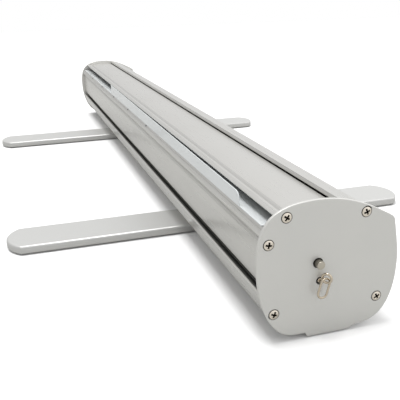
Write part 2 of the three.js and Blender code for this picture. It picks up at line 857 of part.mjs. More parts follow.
place('roller_tube', rollerTube(), mill);
place('roller_plug_lock', lockPlug(), moulded);
place('roller_plug_spring', springPlug(), moulded);
place('axle_bush_lock', bush(flangeFace - plugLength, flangeFace - 0.5, stubRadius), paleMoulded);
place('axle_bush_spring', bush(0.5 - flangeFace, plugLength - flangeFace, shaftRadius), paleMoulded);
place('axle_stub', axle(stubRadius, plateThick + endPlay + plugLength - 2, 1), darkSteel);
place('spring_shaft', axle(shaftRadius, shaftLength, -1), darkSteel);
place('spring_anchor', springAnchor(), moulded);
place('torsion_spring', torsionSpring(), darkSteel);
place('leader_wrap', leaderWrap(), film);
place('leader_span', leaderSpan(), film);
place('leader_tab', leaderTab(), film);
place('slot_glide', slotGlide(), anodised);
for (let i = 0; i < rivetCount; i += 1) {
  place(`glide_rivet_${i + 1}`, glideRivet(half - rivetFirst - i * rivetPitch), darkSteel);
}

place('lock_pin', lockPin(), nickel);
place('pull_ring', pullRing(), nickel);

['lock', 'spring'].forEach((end, i) => {
  const x = pivots[i];
  place(`foot_${end}`, foot(x), footSilver);
  place(`foot_pad_${end}_front`, footPad(x, padInset - footHalfLength), rubber);
  place(`foot_pad_${end}_rear`, footPad(x, footHalfLength - padInset), rubber);
  place(`pivot_bolt_${end}`, pivotBolt(x), darkSteel);
  place(`pivot_washer_${end}`, pivotWasher(x), paleMoulded);
  place(`pivot_nut_${end}`, pivotNut(x), darkSteel);
});
place('pole_socket', poleSocket(), moulded);
socketScrewX.forEach((x, i) => place(`socket_screw_${i + 1}`, socketScrew(x), nickel));

export default group;
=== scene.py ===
"""A closed roll-up banner stand: an aluminium cassette with a spring roller, on two swing-out feet.
Everything is drawn in millimetres round the roller cassette and handed to Blender in metres."""
import math

import bmesh
import bpy
import numpy as np
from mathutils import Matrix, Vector
from mathutils.geometry import tessellate_polygon


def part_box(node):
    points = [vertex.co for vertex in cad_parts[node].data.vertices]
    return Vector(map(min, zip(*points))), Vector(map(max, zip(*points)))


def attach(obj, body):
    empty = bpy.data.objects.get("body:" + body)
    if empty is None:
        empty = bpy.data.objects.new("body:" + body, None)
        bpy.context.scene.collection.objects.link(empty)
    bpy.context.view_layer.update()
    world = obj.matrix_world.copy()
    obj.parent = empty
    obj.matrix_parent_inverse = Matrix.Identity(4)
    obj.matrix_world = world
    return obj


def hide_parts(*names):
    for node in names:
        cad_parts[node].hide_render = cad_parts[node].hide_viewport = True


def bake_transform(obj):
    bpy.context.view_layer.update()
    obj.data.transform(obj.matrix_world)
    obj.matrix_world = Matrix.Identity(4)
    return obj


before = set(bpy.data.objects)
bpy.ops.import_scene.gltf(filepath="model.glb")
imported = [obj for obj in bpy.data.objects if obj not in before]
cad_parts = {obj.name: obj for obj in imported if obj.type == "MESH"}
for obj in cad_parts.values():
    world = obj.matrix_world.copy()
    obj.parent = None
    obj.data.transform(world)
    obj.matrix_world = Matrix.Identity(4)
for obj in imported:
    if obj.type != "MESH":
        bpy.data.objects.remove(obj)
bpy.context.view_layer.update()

# ---- end plates ------------------------------------------------------------------------------
# Two plates of 2.2 mm sheet close the cassette. They are blanked to shape, their edges are eased,
# and they are painted silver. Five countersunk screws hold each one to the extrusions.

plate_lock_box, plate_spring_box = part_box("end_plate_lock"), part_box("end_plate_spring")
middle = 500 * (plate_lock_box[1].x + plate_spring_box[0].x)  # middle of the cassette along X
half = 1000 * plate_lock_box[1].x - middle
plate_thick, plate_ease = 2.2, 0.5
plate_width, plate_top, plate_low, plate_pad = 51.7, 98.4, 4.0, 1.0
roller_y, roller_z = -8.4, 54.5
screw_spots = [(-31.6, 88.9), (-43.6, 72.0), (-39.0, 22.3), (25.3, 85.7), (37.3, 22.6)]
pin_y, pin_z = roller_y + 1.9, roller_z - 13.1


def bezier(points, steps):
    """A curve led by its control points: the points slide towards each other in pairs, level by
    level, until a single point is left for each step."""
    t = np.linspace(0, 1, steps, endpoint=False)[:, None]
    level = [np.ones_like(t) * np.asarray(p, float) for p in points]
    while len(level) > 1:
        level = [a + (b - a) * t for a, b in zip(level, level[1:])]
    return level[0]


w, top, low = plate_width, plate_top, plate_low
rim = np.vstack([
    bezier([(-14, plate_pad), (-16, low)], 1),
    bezier([(-16, low), (-23.4, low)], 3),
    bezier([(-23.4, low), (-41.4, low), (-w, 30), (-w, 60)], 60),
    bezier([(-w, 60), (-w, top - 12.4), (8.7 - w, top), (-9, top)], 56),
    bezier([(-9, top), (11, top), (27.5, top - 7.4), (w - 7.2, top - 17.2)], 44),
    bezier([(w - 7.2, top - 17.2), (w - 4.9, top - 18.5), (w - 4.1, top - 20.8)], 12),
    bezier([(w - 4.1, top - 20.8), (w - 2.3, 67), (w, 57), (w, 47.3)], 30),
    bezier([(w, 47.3), (w, 21), (w - 8.7, low), (24, low)], 56),
    bezier([(24, low), (20.2, low - 0.9)], 2),
    bezier([(20.2, low - 0.9), (18, plate_pad), (14.5, plate_pad)], 10),
    bezier([(14.5, plate_pad), (-14, plate_pad)], 6),
])
rim_mark = np.append(0, np.cumsum(np.linalg.norm(np.roll(rim, -1, 0) - rim, axis=1)))


def moved_in(loop, inset):
    """A clockwise outline moved inwards: each point slides along the bisector of its two sides,
    far enough that both sides move by the inset."""
    side = np.roll(loop, -1, 0) - loop
    inward = np.stack([side[:, 1], -side[:, 0]], 1) / np.linalg.norm(side, axis=1)[:, None]
    before = np.roll(inward, 1, 0)
    return loop + inset * (before + inward) / (1 + (before * inward).sum(1))[:, None]


def along_x(loop, x):
    """The outline, in (y, z), as points in space at these distances along X."""
    loop = np.asarray(loop, float)
    return np.concatenate([np.broadcast_to(x, loop.shape[:-1])[..., None], loop], -1)


def ring_of(y, z, radius, sides):
    """A circle in the (y, z) plane: its centre plus the radius times cosine and sine."""
    turn = np.arange(sides) * 2 * math.pi / sides
    return np.stack([y + radius * np.cos(turn), z + radius * np.sin(turn)], -1)


def skin_of(grid, close_u=False, close_v=False):
    """A surface over a grid of points: each four-sided face joins a point to the next along both
    ways of the grid."""
    rows, columns = grid.shape[:2]
    index = np.arange(rows * columns).reshape(rows, columns)
    if close_u:
        index = np.vstack([index, index[:1]])
    if close_v:
        index = np.hstack([index, index[:, :1]])
    faces = np.stack([index[:-1, :-1], index[1:, :-1], index[1:, 1:], index[:-1, 1:]], -1)
    return grid.reshape(-1, 3), faces.reshape(-1, 4)


def flat_of(*loops):
    """A flat face bounded by the first loop of points, with a hole for each other loop."""
    triangles = tessellate_polygon([[Vector(p) for p in loop] for loop in loops])
    return np.vstack(loops), np.array(triangles)


def piece(name, surfaces, finish, sharp=32, grime=None):
    """One mesh from several surfaces in millimetres: their points are joined end to end, points
    that coincide are welded, and edges that turn by more than the sharp angle stay crisp."""
    points = np.vstack([points for points, _ in surfaces])
    starts = np.cumsum([0] + [len(points) for points, _ in surfaces[:-1]])
    faces = [face for (_, faces), start in zip(surfaces, starts) for face in (faces + start).tolist()]
    mesh = bpy.data.meshes.new(name)
    mesh.from_pydata((points * 0.001).tolist(), [], faces)
    # An optional attribute of painted shade, one value a point, which the finishes use to darken holes,
    # recesses and grooves where shade falls.
    if grime is not None:
        mesh.attributes.new("grime", "FLOAT", "POINT").data.foreach_set(
            "value", np.concatenate(grime).astype(np.float32)
        )
    shell = bmesh.new()
    shell.from_mesh(mesh)
    bmesh.ops.remove_doubles(shell, verts=shell.verts, dist=2e-6)
    bmesh.ops.dissolve_degenerate(shell, edges=shell.edges, dist=1e-7)
    bmesh.ops.recalc_face_normals(shell, faces=shell.faces)
    shell.to_mesh(mesh)
    shell.free()
    mesh.shade_smooth()
    mesh.set_sharp_from_angle(angle=math.radians(sharp))
    mesh.materials.append(finish)
    made = bpy.data.objects.new(name, mesh)
    bpy.context.scene.collection.objects.link(made)
    return made


def linear(code):
    """An sRGB colour such as "c8c4bc" as linear light, with full opacity."""
    shares = [int(code[i:i + 2], 16) / 255 for i in (0, 2, 4)]
    return [s / 12.92 if s <= 0.04045 else ((s + 0.055) / 1.055) ** 2.4 for s in shares] + [1.0]


def add(tree, kind, feeds=(), **settings):
    """Adds a node with its settings; feeds are values or sockets for its inputs."""
    made = tree.nodes.new(kind)
    for key, value in settings.items():
        setattr(made, key, value)
    for key, value in dict(feeds).items():
        if isinstance(value, bpy.types.NodeSocket):
            tree.links.new(value, made.inputs[key])
        else:
            made.inputs[key].default_value = value
    return made


def new_finish(name):
    """An empty material and its node tree."""
    finish = bpy.data.materials.new(name)
    finish.use_nodes = True
    finish.node_tree.nodes.clear()
    return finish, finish.node_tree


# Silver paint on sheet metal: a sprayed metallic coat, which looks an even satin grey with a fine
# grain and is a little duller in broad patches; the walls of its holes get painted shade.
paint, tree = new_finish("silver_paint_on_plate")
place = add(tree, "ShaderNodeTexCoord").outputs["Object"]
grain = add(tree, "ShaderNodeTexNoise", {"Vector": place, "Scale": 1800.0, "Detail": 3.0})  # 0.6 mm
cloud = add(tree, "ShaderNodeTexNoise", {"Vector": place, "Scale": 26.0, "Detail": 2.0})  # 40 mm
# Painted shade: this attribute darkens the walls of the holes towards 4a4a48.
bore_shade = add(tree, "ShaderNodeAttribute", attribute_name="grime")
tone = add(tree, "ShaderNodeMapRange", {"Value": cloud.outputs["Fac"], "To Min": 0.0, "To Max": 1.0})
coat = add(tree, "ShaderNodeMix", {"Factor": tone.outputs["Result"], "A": linear("d3d3d0"),
                                   "B": linear("d9d8d4")}, data_type="RGBA")
shaded_coat = add(tree, "ShaderNodeMix", {"Factor": bore_shade.outputs["Fac"], "A": coat.outputs["Result"],
                                     "B": linear("4a4a48")}, data_type="RGBA")
gloss = add(tree, "ShaderNodeMapRange", {"Value": grain.outputs["Fac"], "To Min": 0.40, "To Max": 0.52})
bumps = add(tree, "ShaderNodeBump", {"Height": grain.outputs["Fac"], "Strength": 0.12,
                                     "Distance": 0.00003})
skin = add(tree, "ShaderNodeBsdfPrincipled", {
    "Base Color": shaded_coat.outputs["Result"], "Metallic": 0.55, "Roughness": gloss.outputs["Result"],
    "Normal": bumps.outputs["Normal"],
})
add(tree, "ShaderNodeOutputMaterial", {"Surface": skin.outputs["BSDF"]})
plate_paint = paint

quarter = np.linspace(0, math.pi / 2, 6)
edge_inset = plate_ease * (1 - np.sin(quarter))
edge_depth = plate_ease * (1 - np.cos(quarter))
flat_border = 1.6  # a narrow flat border keeps the shading of the rounded edge off the face
edge_rows = np.concatenate([
    [[flat_border, 0]],
    np.stack([edge_inset, edge_depth], 1),
    np.stack([edge_inset, plate_thick - edge_depth], 1)[::-1],
    [[flat_border, plate_thick]],
])
sink = [(4.15, 0), (3.9, 0), (3.8, 0.1), (1.95, 1.7), (1.95, plate_thick)]

for end, side, holes, box in [
    ("lock", 1, [(roller_y, roller_z, 3.5), (pin_y, pin_z, 2.7)], plate_lock_box),
    ("spring", -1, [(roller_y, roller_z, 3.3)], plate_spring_box),
]:
    face = middle + side * half
    edge = np.stack([along_x(moved_in(rim, inset), face - side * depth) for inset, depth in edge_rows])
    walls = [[(y, z, r, depth) for r, depth in sink] for y, z in screw_spots]
    walls += [[(y, z, r + 0.3, 0), (y, z, r + 0.12, 0), (y, z, r, 0.12), (y, z, r, plate_thick)]
              for y, z, r in holes]
    bores = [np.stack([along_x(ring_of(y, z, r, 48), face - side * depth) for y, z, r, depth in wall])
             for wall in walls]
    surfaces = [skin_of(edge, close_v=True)] + [skin_of(bore, close_v=True) for bore in bores]
    surfaces += [flat_of(edge[0], *[bore[0] for bore in bores])]
    surfaces += [flat_of(edge[-1], *[bore[-1] for bore in bores])]
    grime = [np.zeros(edge[..., 0].size)]
    # Painted shade in the holes: none at the rim, a little at the lip, most down the walls.
    grime += [np.repeat([0, 0.2] + [0.75] * (len(bore) - 2), 48) for bore in bores]
    grime += [np.zeros(len(points)) for points, _ in surfaces[-2:]]
    plate = piece(f"plate_{end}", surfaces, plate_paint, grime=grime)
    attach(plate, "base")
    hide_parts(f"end_plate_{end}")

# ---- plate screws ----------------------------------------------------------------------------
# Ten raised countersunk screws, steel with a warm nickel plating and a cross recess, that bite into
# ports in the extrusions.

head_radius, head_dome, shank_radius, screw_length = 3.3, 0.9, 1.25, 13.0


def turned(profile, y, z, x0, side, sides=48):
    """A turned piece on an axis along X: each (radius, height) of the profile is carried round the
    axis, with heights measured outwards from x0."""
    profile = np.asarray(profile, float)
    turn = np.arange(sides) * 2 * math.pi / sides
    radius = np.maximum(profile[:, :1], 1e-4)
    return np.stack([
        np.broadcast_to(x0 + side * profile[:, 1:], (len(profile), sides)),
        y + radius * np.cos(turn),
        z + radius * np.sin(turn),
    ], -1)


def cross_recess(radius, turn):
    """How far a cross is cut at each point of a head: each arm sinks over 0.16 mm at its sides and
    0.4 mm at its ends, and the deeper arm counts."""
    u, v = radius * np.cos(turn), radius * np.sin(turn)
    return np.maximum(*[np.clip((0.62 - abs(b)) / 0.16, 0, 1) * np.clip((2.3 - abs(a)) / 0.4, 0, 1)
                        for a, b in ((u, v), (v, u))])


def cross_head(y, z, x0, side, lean):
    """The domed face of a screw, over radius and angle: a shallow dome less a cross, which deepens
    towards the middle."""
    share = np.linspace(0, 1, 44)[:, None]
    turn = (np.arange(96) * 2 * math.pi / 96)[None, :]
    radius = np.maximum(head_radius * share, 1e-4)
    recess = cross_recess(radius, turn - lean)
    height = head_dome * (1 - 0.83 * share ** 2.4) - recess * (0.75 + 0.5 * (1 - share))
    grid = np.stack([x0 + side * height, y + radius * np.cos(turn), z + radius * np.sin(turn)], -1)
    return grid, recess


# Nickel plating on steel: mirror-like but softened by tumbling, so it looks warm and bright, with
# painted shade darkening the cross recess.
nickel, tree = new_finish("nickel_plated_steel")
place = add(tree, "ShaderNodeTexCoord").outputs["Object"]
haze = add(tree, "ShaderNodeTexNoise", {"Vector": place, "Scale": 900.0, "Detail": 4.0})  # 1 mm
# Painted shade: the recess mask darkens the cross towards 15120f.
shade_mask = add(tree, "ShaderNodeAttribute", attribute_name="grime")
tint = add(tree, "ShaderNodeMix", {"Factor": haze.outputs["Fac"], "A": linear("e0d6c8"),
                                   "B": linear("f0e9dd")}, data_type="RGBA")
colour = add(tree, "ShaderNodeMix", {"Factor": shade_mask.outputs["Fac"], "A": tint.outputs["Result"],
                                     "B": linear("15120f")}, data_type="RGBA")
gloss = add(tree, "ShaderNodeMapRange", {"Value": haze.outputs["Fac"], "To Min": 0.2, "To Max": 0.34})
skin = add(tree, "ShaderNodeBsdfPrincipled", {
    "Base Color": colour.outputs["Result"], "Metallic": 1.0, "Roughness": gloss.outputs["Result"],
})
add(tree, "ShaderNodeOutputMaterial", {"Surface": skin.outputs["BSDF"]})
nickel_plate = nickel

spot_names = ["slot_rear", "slot_front", "low_front", "high_rear", "low_rear"]
leans = np.random.default_rng(7).uniform(0, math.pi / 2, 10)  # screws stop at any angle
for i, (end, side) in enumerate([("lock", 1), ("spring", -1)]):
    for j, (spot, (y, z)) in enumerate(zip(spot_names, screw_spots)):
        face = middle + side * half
        head, recess = cross_head(y, z, face, side, leans[5 * i + j])
        rest = turned([(head_radius, 0.153), (head_radius, 0), (shank_radius, -1.9),
                       (shank_radius, 1.2 - screw_length), (0.3, -screw_length), (0, -screw_length)],
                      y, z, face, side, 96)
        # The cross recess carries painted shade.
        screw = piece(f"screw_{end}_{spot}_nickel", [
            skin_of(head, close_v=True), skin_of(rest, close_v=True),
        ], nickel_plate, sharp=40, grime=[recess.ravel(), np.zeros(rest[..., 0].size)])
        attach(screw, "base")
        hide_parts(f"screw_{end}_{spot}")

# ---- covers and channel ----------------------------------------------------------------------
# Three aluminium extrusions, satin anodised: a front cover and a top cover, whose lips form the
# slot, hook behind the flanges of the channel that carries the feet.

panel_drop, belly_drop, rim_proud, wall = 4.9, 6.4, 1.0, 1.8
lip_flat, slope_end, groove_height = 3.5, 9.0, 4.0  # groove above the front flange
tongue_outer = panel_drop + wall + 0.3
tongue_inner = tongue_outer + 1.6
rib_outer, rib_inner = tongue_inner + 0.3, tongue_inner + 1.7
flange_inner, top_flange_inner = rim_proud + 1.5, rim_proud + 3.2
case_floor = 10.0
stop_in = half - plate_thick - 0.1  # half length of the extrusions
port_radius, port_bore = 3.2, 1.4


def mark(y, z):
    """How far round the plate edge the point nearest to (y, z) lies."""
    return rim_mark[np.argmin(np.hypot(rim[:, 0] - y, rim[:, 1] - z))]


def follow(start, stop, inset, steps):
    """Points that follow the plate edge between two marks, moved inwards by the inset, which may
    be a function of the distance travelled."""
    s = np.linspace(start, stop, steps)
    closed = np.vstack([rim, rim[:1]])
    spot = np.stack([np.interp(s, rim_mark, closed[:, k]) for k in (0, 1)], 1)
    ahead = np.stack([np.interp(s + 0.4, rim_mark, closed[:, k]) for k in (0, 1)], 1)
    behind = np.stack([np.interp(s - 0.4, rim_mark, closed[:, k]) for k in (0, 1)], 1)
    way = (ahead - behind) / np.linalg.norm(ahead - behind, axis=1)[:, None]
    depth = inset(abs(s - start)) if callable(inset) else inset
    return spot + np.stack([way[:, 1], -way[:, 0]], 1) * np.reshape(depth, (-1, 1))


def eased(loop, radius, steps=3):
    """A closed outline with rounded corners: where it turns by more than 25 degrees, a short curve
    leaves one side and joins the next, as long as the radius asks and the sides allow."""
    back, on = np.roll(loop, 1, 0) - loop, np.roll(loop, -1, 0) - loop
    back_length, on_length = (np.linalg.norm(side, axis=1)[:, None] for side in (back, on))
    back, on = back / back_length, on / on_length
    turn = np.arccos(np.clip(-(back * on).sum(1), -1, 1))[:, None]
    cut = np.where(turn > math.radians(25), radius * np.tan(np.minimum(turn, 2.4) / 2), 0)
    cut = np.minimum(cut, 0.45 * np.minimum(back_length, on_length))
    t = np.linspace(0, 1, steps + 1)[None, :, None]
    curve = (loop[:, None] + (back * cut)[:, None] * (1 - t) ** 2 + (on * cut)[:, None] * t ** 2)
    curve = curve.reshape(-1, 2)
    keep = np.linalg.norm(curve - np.roll(curve, 1, 0), axis=1) > 1e-5
    return curve[keep]


def groove_shade_of(points):
    """How much painted shade a point gets, by its distance from the plate edge: none on the panels and
    lips, a fifth on the slopes beside the slot, and nearly all below the panels elsewhere."""
    depth = np.array([np.hypot(rim[:, 0] - y, rim[:, 1] - z).min() for y, z in points[:, 1:]])
    lip = np.hypot(points[:, 1] + 44.5, points[:, 2] - 87) < 16  # round the middle of the slot
    ramp = np.clip((depth - 1.3) / 0.8, 0, 1) * np.clip((4.7 - depth) / 0.8, 0, 1)
    return np.where((depth > 6.9) & ~lip, 0.95, 0.2 * ramp * lip)


def drawn(loop, start, stop):
    """A bar with this outline, extruded along X and closed at both ends."""
    ends = [along_x(loop, middle + x) for x in (start, stop)]
    return [skin_of(np.stack(ends), close_v=True), flat_of(ends[0]), flat_of(ends[1])]


def port(y, z):
    """A screw port: a thick-walled tube along the extrusion."""
    rows = [(port_bore, -stop_in), (port_radius, -stop_in), (port_radius, stop_in),
            (port_bore, stop_in)]
    return skin_of(turned(rows, y, z, middle, 1, 32), close_u=True, close_v=True)


def slope(travel):
    """The depth of a cover behind its lip: flat at first, then an S-shaped ramp to the panel."""
    k = np.clip((travel - lip_flat) / (slope_end - lip_flat), 0, 1)
    return rim_proud + (panel_drop - rim_proud) * k * k * (3 - 2 * k)


def cover_outline(lip, edge, tip):
    """Lip, slope and panel on the outside, then the tongue, then the same skin a wall inside."""
    stop = edge + math.copysign(wall, lip - edge)
    inner = follow(lip, stop, lambda travel: slope(travel) + wall, 110)[::-1]
    return np.vstack([
        follow(lip, edge, slope, 120),
        follow(edge, tip, tongue_outer, 6),
        follow(tip, stop, tongue_inner, 6),
        inner,
    ])


# Clear anodised aluminium: etched to a satin before it is anodised, so it looks soft and milky with
# faint straight lines from the die along its length. Real die lines are 0.1 mm apart and are drawn
# at 0.5 mm here, so that they show. Grooves, inner walls and slot slopes get painted shade.
anodised, tree = new_finish("satin_anodised_aluminium")
place = add(tree, "ShaderNodeTexCoord").outputs["Object"]
drawn_out = add(tree, "ShaderNodeMapping", {"Vector": place, "Scale": (0.01, 1.0, 1.0)})
lines = add(tree, "ShaderNodeTexNoise", {"Vector": drawn_out.outputs["Vector"], "Scale": 2000.0,
                                         "Detail": 3.0})
cloud = add(tree, "ShaderNodeTexNoise", {"Vector": place, "Scale": 14.0, "Detail": 2.0})  # 70 mm
shade = add(tree, "ShaderNodeMix", {"Factor": cloud.outputs["Fac"], "A": linear("d5d4d0"),
                                    "B": linear("dcdbd8")}, data_type="RGBA")
# Painted shade: this attribute darkens grooves, inner walls and slot slopes towards 23241f.
dust_and_shade = add(tree, "ShaderNodeAttribute", attribute_name="grime")
colour = add(tree, "ShaderNodeMix", {"Factor": dust_and_shade.outputs["Fac"], "A": shade.outputs["Result"],
                                     "B": linear("23241f")}, data_type="RGBA")
gloss = add(tree, "ShaderNodeMapRange", {"Value": lines.outputs["Fac"], "To Min": 0.24, "To Max": 0.34})
bumps = add(tree, "ShaderNodeBump", {"Height": lines.outputs["Fac"], "Strength": 0.1,
                                     "Distance": 0.00004})
skin = add(tree, "ShaderNodeBsdfPrincipled", {
    "Base Color": colour.outputs["Result"], "Metallic": 0.85, "Roughness": gloss.outputs["Result"],
    "Normal": bumps.outputs["Normal"],
})
add(tree, "ShaderNodeOutputMaterial", {"Surface": skin.outputs["BSDF"]})
satin_anodised = anodised

front_lip, rear_lip = mark(2.9 - w, top - 16.6), mark(11.1 - w, top - 6.8)
front_flange_top, top_flange_start, top_groove_width = 37.5, 7.4, 2.2
slot_rear, slot_front, low_front, high_rear, low_rear = screw_spots
front = cover_outline(front_lip, mark(-w, front_flange_top + groove_height),
                      mark(-w, front_flange_top - 4.5))
crown = cover_outline(rear_lip, mark(top_flange_start - top_groove_width, top),
                      mark(top_flange_start + 5.3, top))
top_start, top_groove = mark(top_flange_start, top), mark(top_flange_start + 9, top)
top_end, rear_start = mark(w - 27.7, top - 6), mark(w - 19, top - 10.5)
rear_end, belly_start = mark(w - 18, 7), mark(17 - w, 7.5)
belly_end, front_end = mark(8.5 - w, 17), mark(7.1 - w, 20)
front_start, front_groove = mark(-w, front_flange_top), mark(-w, front_flange_top - 8)
channel = np.vstack([
    follow(top_start, top_end, rim_proud, 40),
    follow(rear_start, rear_end, belly_drop, 110),
    [(w - 26, case_floor), (25 - w, case_floor)],
    follow(belly_start, belly_end, belly_drop, 16),
    follow(front_end, front_start, rim_proud, 30),
    follow(front_start, front_groove, flange_inner, 12),
    follow(front_groove, front_start, rib_outer, 12),
    follow(front_start, front_end, rib_inner, 20),
    [(25.6 - w, case_floor + wall), (w - 26.6, case_floor + wall)],
    follow(rear_end, rear_start, belly_drop + wall, 90),
    follow(top_end, top_start, rib_inner, 30),
    follow(top_start, top_groove, rib_outer, 12),
    follow(top_groove, top_start, top_flange_inner, 12),
])
for name, outline, spots, node in [
    ("cover_front", front, [slot_front], "front_cover"),
    ("cover_top", crown, [slot_rear], "top_cover"),
    ("channel", channel, [low_front, high_rear, low_rear], "base_channel"),
]:
    surfaces = drawn(eased(outline, 0.4), -stop_in, stop_in)
    surfaces += [port(y, z) for y, z in spots]
    # Painted shade on grooves, inner walls and the slopes beside the slot.
    grime = [groove_shade_of(points) for points, _ in surfaces]
    extrusion = piece(name, surfaces, satin_anodised, sharp=28, grime=grime)
    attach(extrusion, "base")
    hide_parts(node)

# ---- roller ----------------------------------------------------------------------------------
# A mill-finish aluminium tube with a moulded plug in each end turns on a stub and a long shaft. A
# steel spring round the shaft winds it back, and the banner is rolled on it.


def smooth_copy(node, name, finish, body, sharp=30, round_off=0.0):
    """A copy of a node with its loose triangles welded and its round faces shaded as round. With
    round_off, its flat triangles are joined and its edges are rounded by that many millimetres."""
    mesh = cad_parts[node].data.copy()
    mesh.name = name
    shell = bmesh.new()
    shell.from_mesh(mesh)
    bmesh.ops.remove_doubles(shell, verts=shell.verts, dist=2e-6)
    if round_off:
        bmesh.ops.dissolve_limit(shell, verts=shell.verts, edges=shell.edges,
                                 angle_limit=math.radians(1))
    shell.to_mesh(mesh)
    shell.free()
    mesh.shade_smooth()
    mesh.set_sharp_from_angle(angle=math.radians(sharp))
    mesh.materials.clear()
    mesh.materials.append(finish)
    made = bpy.data.objects.new(name, mesh)
    bpy.context.scene.collection.objects.link(made)
    if round_off:
        bevel = made.modifiers.new("rounded_edges", "BEVEL")
        bevel.width, bevel.segments = 0.001 * round_off, 2
        bevel.limit_method, bevel.angle_limit = "ANGLE", math.radians(sharp)
        bevel.harden_normals = True
    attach(made, body)
    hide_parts(node)
    return made


# Mill-finish aluminium: straight from the press, greyer and more streaked than the anodised parts.
mill, tree = new_finish("mill_finish_aluminium")
place = add(tree, "ShaderNodeTexCoord").outputs["Object"]
drawn_out = add(tree, "ShaderNodeMapping", {"Vector": place, "Scale": (0.02, 1.0, 1.0)})
lines = add(tree, "ShaderNodeTexNoise", {"Vector": drawn_out.outputs["Vector"], "Scale": 1200.0,
                                         "Detail": 4.0})  # streaks 0.8 mm apart
shade = add(tree, "ShaderNodeMix", {"Factor": lines.outputs["Fac"], "A": linear("a6a8a9"),
                                    "B": linear("c4c6c6")}, data_type="RGBA")
gloss = add(tree, "ShaderNodeMapRange", {"Value": lines.outputs["Fac"], "To Min": 0.35, "To Max": 0.6})
skin = add(tree, "ShaderNodeBsdfPrincipled", {
    "Base Color": shade.outputs["Result"], "Metallic": 0.9, "Roughness": gloss.outputs["Result"],
})
add(tree, "ShaderNodeOutputMaterial", {"Surface": skin.outputs["BSDF"]})

# Moulded black ABS: spark-eroded mould texture, so it looks matt with a fine even grain of 0.4 mm.
abs_black, tree = new_finish("moulded_black_abs")
place = add(tree, "ShaderNodeTexCoord").outputs["Object"]
grain = add(tree, "ShaderNodeTexNoise", {"Vector": place, "Scale": 2500.0, "Detail": 2.0})
shade = add(tree, "ShaderNodeMix", {"Factor": grain.outputs["Fac"], "A": linear("242526"),
                                    "B": linear("2f3032")}, data_type="RGBA")
bumps = add(tree, "ShaderNodeBump", {"Height": grain.outputs["Fac"], "Strength": 0.35,
                                     "Distance": 0.00005})
skin = add(tree, "ShaderNodeBsdfPrincipled", {
    "Base Color": shade.outputs["Result"], "Roughness": 0.55, "IOR": 1.53,
    "Normal": bumps.outputs["Normal"],
})
add(tree, "ShaderNodeOutputMaterial", {"Surface": skin.outputs["BSDF"]})

# Natural acetal: a slippery off-white plastic, slightly waxy, for bushes and washers.
acetal, tree = new_finish("natural_acetal")
place = add(tree, "ShaderNodeTexCoord").outputs["Object"]
cloud = add(tree, "ShaderNodeTexNoise", {"Vector": place, "Scale": 300.0, "Detail": 2.0})  # 3 mm
shade = add(tree, "ShaderNodeMix", {"Factor": cloud.outputs["Fac"], "A": linear("d4d3cc"),
                                    "B": linear("e0dfd9")}, data_type="RGBA")
skin = add(tree, "ShaderNodeBsdfPrincipled", {
    "Base Color": shade.outputs["Result"], "Roughness": 0.42, "IOR": 1.48,
})
add(tree, "ShaderNodeOutputMaterial", {"Surface": skin.outputs["BSDF"]})

# Oiled dark steel: blackened spring wire, nuts and bolts, with a brown-grey cast and a dull gloss.
dark_steel, tree = new_finish("oiled_dark_steel")
place = add(tree, "ShaderNodeTexCoord").outputs["Object"]
blotch = add(tree, "ShaderNodeTexNoise", {"Vector": place, "Scale": 500.0, "Detail": 4.0})  # 2 mm
shade = add(tree, "ShaderNodeMix", {"Factor": blotch.outputs["Fac"], "A": linear("46474a"),
                                    "B": linear("66666a")}, data_type="RGBA")
gloss = add(tree, "ShaderNodeMapRange", {"Value": blotch.outputs["Fac"], "To Min": 0.3, "To Max": 0.5})
skin = add(tree, "ShaderNodeBsdfPrincipled", {
    "Base Color": shade.outputs["Result"], "Metallic": 0.95, "Roughness": gloss.outputs["Result"],
})
add(tree, "ShaderNodeOutputMaterial", {"Surface": skin.outputs["BSDF"]})

smooth_copy("roller_tube", "tube_of_roller", mill, "roller")
for end in ("lock", "spring"):
    smooth_copy(f"roller_plug_{end}", f"plug_{end}", abs_black, "roller")
    smooth_copy(f"axle_bush_{end}", f"bush_{end}", acetal, "roller")
smooth_copy("spring_anchor", "anchor_of_spring", abs_black, "base")
smooth_copy("torsion_spring", "coil_of_spring", dark_steel, "base", sharp=70)

# ---- axle stub and spring shaft --------------------------------------------------------------
# Steel axles riveted into the end plates; each stands 4.7 mm out of its plate with a turned,
# chamfered end.

stub_reach = 4.7

# Turned free-cutting steel: bright end face with fine rings from the tool 0.25 mm apart, and a side
# painted dark from the chamfer into the plate's hole, as painted shade and a painted dark reflection.
turned_steel, tree = new_finish("turned_steel")
place = add(tree, "ShaderNodeTexCoord").outputs["Object"]
centred = add(tree, "ShaderNodeMapping", {"Vector": place,
                                          "Location": (0, -0.001 * roller_y, -0.001 * roller_z)})
rings = add(tree, "ShaderNodeTexWave", {"Vector": centred.outputs["Vector"], "Scale": 640.0,
                                        "Distortion": 0.6}, wave_type="RINGS", rings_direction="X")
# Painted shade: this attribute darkens the side of the axle towards 2b2824.
shade_mask = add(tree, "ShaderNodeAttribute", attribute_name="grime")
metal = add(tree, "ShaderNodeMix", {"Factor": rings.outputs["Fac"], "A": linear("b0aa9c"),
                                    "B": linear("cdc7ba")}, data_type="RGBA")
colour = add(tree, "ShaderNodeMix", {"Factor": shade_mask.outputs["Fac"], "A": metal.outputs["Result"],
                                     "B": linear("2b2824")}, data_type="RGBA")
skin = add(tree, "ShaderNodeBsdfPrincipled", {
    "Base Color": colour.outputs["Result"], "Metallic": 0.8, "Roughness": 0.42,
})
add(tree, "ShaderNodeOutputMaterial", {"Surface": skin.outputs["BSDF"]})

